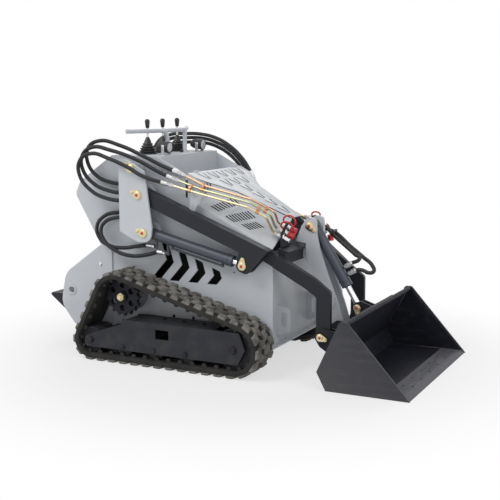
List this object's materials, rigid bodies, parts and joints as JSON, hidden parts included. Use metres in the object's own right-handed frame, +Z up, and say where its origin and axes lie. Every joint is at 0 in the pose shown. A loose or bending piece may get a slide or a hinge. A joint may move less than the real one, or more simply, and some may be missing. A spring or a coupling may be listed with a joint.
{
  "type": "compact tracked skid steer loader",
  "caption": "Stand-on skid steer loader on two triangular rubber tracks, with radial lift arms, hydraulic cylinders and a tilting bucket.",
  "frame": {"origin": "on the ground under the middle of the whole machine", "axes": "+X forward, +Y to the left of the machine, +Z up"},
  "size_m": [2.234, 1.066, 1.2983],
  "materials": {
    "body_grey": "satin",
    "charcoal_paint": "satin",
    "black_paint": "satin",
    "track_rubber": "matte",
    "hose_rubber": "matte",
    "black_plastic": "satin",
    "chrome": "polished",
    "yellow_zinc": "plated",
    "engine_grey": "matte"
  },
  "bodies": {
    "chassis": {"body_side_left": "body_grey", "body_side_right": "body_grey", "body_front_plate": "body_grey", "body_floor": "body_grey", "body_rear_panel": "body_grey", "control_console": "body_grey", "hood_side_left": "body_grey", "hood_side_right": "body_grey", "rear_ear_left": "body_grey", "rear_ear_right": "body_grey", "track_left": "track_rubber", "track_right": "track_rubber", "track_frame_left": "charcoal_paint", "track_frame_right": "charcoal_paint", "front_idler_left": "black_paint", "rear_idler_left": "black_paint", "front_idler_right": "black_paint", "rear_idler_right": "black_paint", "drive_sprocket_left": "black_paint", "final_drive_left": "engine_grey", "drive_sprocket_right": "black_paint", "final_drive_right": "engine_grey", "arm_tower_left": "body_grey", "arm_tower_right": "body_grey", "engine_block": "engine_grey", "handlebar": "body_grey", "control_lever_left": "black_plastic", "control_lever_middle": "black_plastic", "control_lever_right": "black_plastic", "work_light_left": "black_plastic", "work_light_right": "black_plastic", "lift_hoses_left": "hose_rubber", "cylinder_hoses_left": "hose_rubber", "lift_hoses_right": "hose_rubber", "cylinder_hoses_right": "hose_rubber"},
    "loader_arms": {"lift_arm_left": "charcoal_paint", "lift_arm_right": "charcoal_paint", "front_leg_left": "charcoal_paint", "front_leg_right": "charcoal_paint", "arm_cross_member": "charcoal_paint", "tilt_bracket": "body_grey", "coupler_plate_left": "chrome", "coupler_plate_right": "chrome", "steel_lines_left": "yellow_zinc", "steel_lines_right": "yellow_zinc", "tilt_hoses": "hose_rubber"},
    "bucket": {"bucket_shell": "black_paint", "bucket_cutting_edge": "black_paint", "bucket_hitch": "black_paint"},
    "lift_barrel_left": {"lift_cylinder_barrel_left": "charcoal_paint"},
    "lift_rod_left": {"lift_cylinder_rod_left": "chrome"},
    "lift_barrel_right": {"lift_cylinder_barrel_right": "charcoal_paint"},
    "lift_rod_right": {"lift_cylinder_rod_right": "chrome"},
    "tilt_barrel": {"tilt_cylinder_barrel": "charcoal_paint"},
    "tilt_rod": {"tilt_cylinder_rod": "chrome"},
    "platform": {"operator_platform": "charcoal_paint"},
    "hood": {"hood": "body_grey"}
  },
  "joints": [
    {"name": "lift_arms", "type": "hinge", "parent": "chassis", "child": "loader_arms", "pos_m": [-0.429, 0, 0.904], "axis": [0, -1, 0], "range_deg": [0, 80], "deforming": ["lift_hoses_left", "lift_hoses_right"]},
    {"name": "bucket_tilt", "type": "hinge", "parent": "loader_arms", "child": "bucket", "pos_m": [0.567, 0, 0.203], "axis": [0, -1, 0], "range_deg": [-50, 28]},
    {"name": "lift_barrel_left_swing", "type": "hinge", "parent": "chassis", "child": "lift_barrel_left", "pos_m": [-0.399, 0.37, 0.702], "axis": [0, -1, 0], "range_deg": [0, 76], "deforming": ["cylinder_hoses_left"]},
    {"name": "lift_rod_left_slide", "type": "slide", "parent": "lift_barrel_left", "child": "lift_rod_left", "axis": [0.9728, 0, -0.2316], "range_m": [0, 0.26]},
    {"name": "lift_barrel_right_swing", "type": "hinge", "parent": "chassis", "child": "lift_barrel_right", "pos_m": [-0.399, -0.37, 0.702], "axis": [0, -1, 0], "range_deg": [0, 76], "deforming": ["cylinder_hoses_right"]},
    {"name": "lift_rod_right_slide", "type": "slide", "parent": "lift_barrel_right", "child": "lift_rod_right", "axis": [0.9728, 0, -0.2316], "range_m": [0, 0.26]},
    {"name": "tilt_barrel_swing", "type": "hinge", "parent": "loader_arms", "child": "tilt_barrel", "pos_m": [0.412, 0, 0.742], "axis": [0, -1, 0], "range_deg": [-2, 2], "deforming": ["tilt_hoses"]},
    {"name": "tilt_rod_slide", "type": "slide", "parent": "tilt_barrel", "child": "tilt_rod", "axis": [0.5228, 0, -0.8525], "range_m": [-0.072, 0.13]},
    {"name": "platform_fold", "type": "hinge", "parent": "chassis", "child": "platform", "pos_m": [-0.79, 0, 0.282], "axis": [0, 1, 0], "range_deg": [0, 80]},
    {"name": "hood_hinge", "type": "hinge", "parent": "chassis", "child": "hood", "pos_m": [-0.183, 0, 1.021], "axis": [0, -1, 0], "range_deg": [0, 45]}
  ],
  "couplings": [
    {"joint": "lift_barrel_left_swing", "follows": "lift_arms", "ratio": 0.9311},
    {"joint": "lift_rod_left_slide", "follows": "lift_arms", "m_per_rad": 0.18148},
    {"joint": "lift_barrel_right_swing", "follows": "lift_arms", "ratio": 0.9311},
    {"joint": "lift_rod_right_slide", "follows": "lift_arms", "m_per_rad": 0.18148},
    {"joint": "tilt_barrel_swing", "follows": "bucket_tilt", "ratio": -0.02},
    {"joint": "tilt_rod_slide", "follows": "bucket_tilt", "m_per_rad": -0.142}
  ]
}
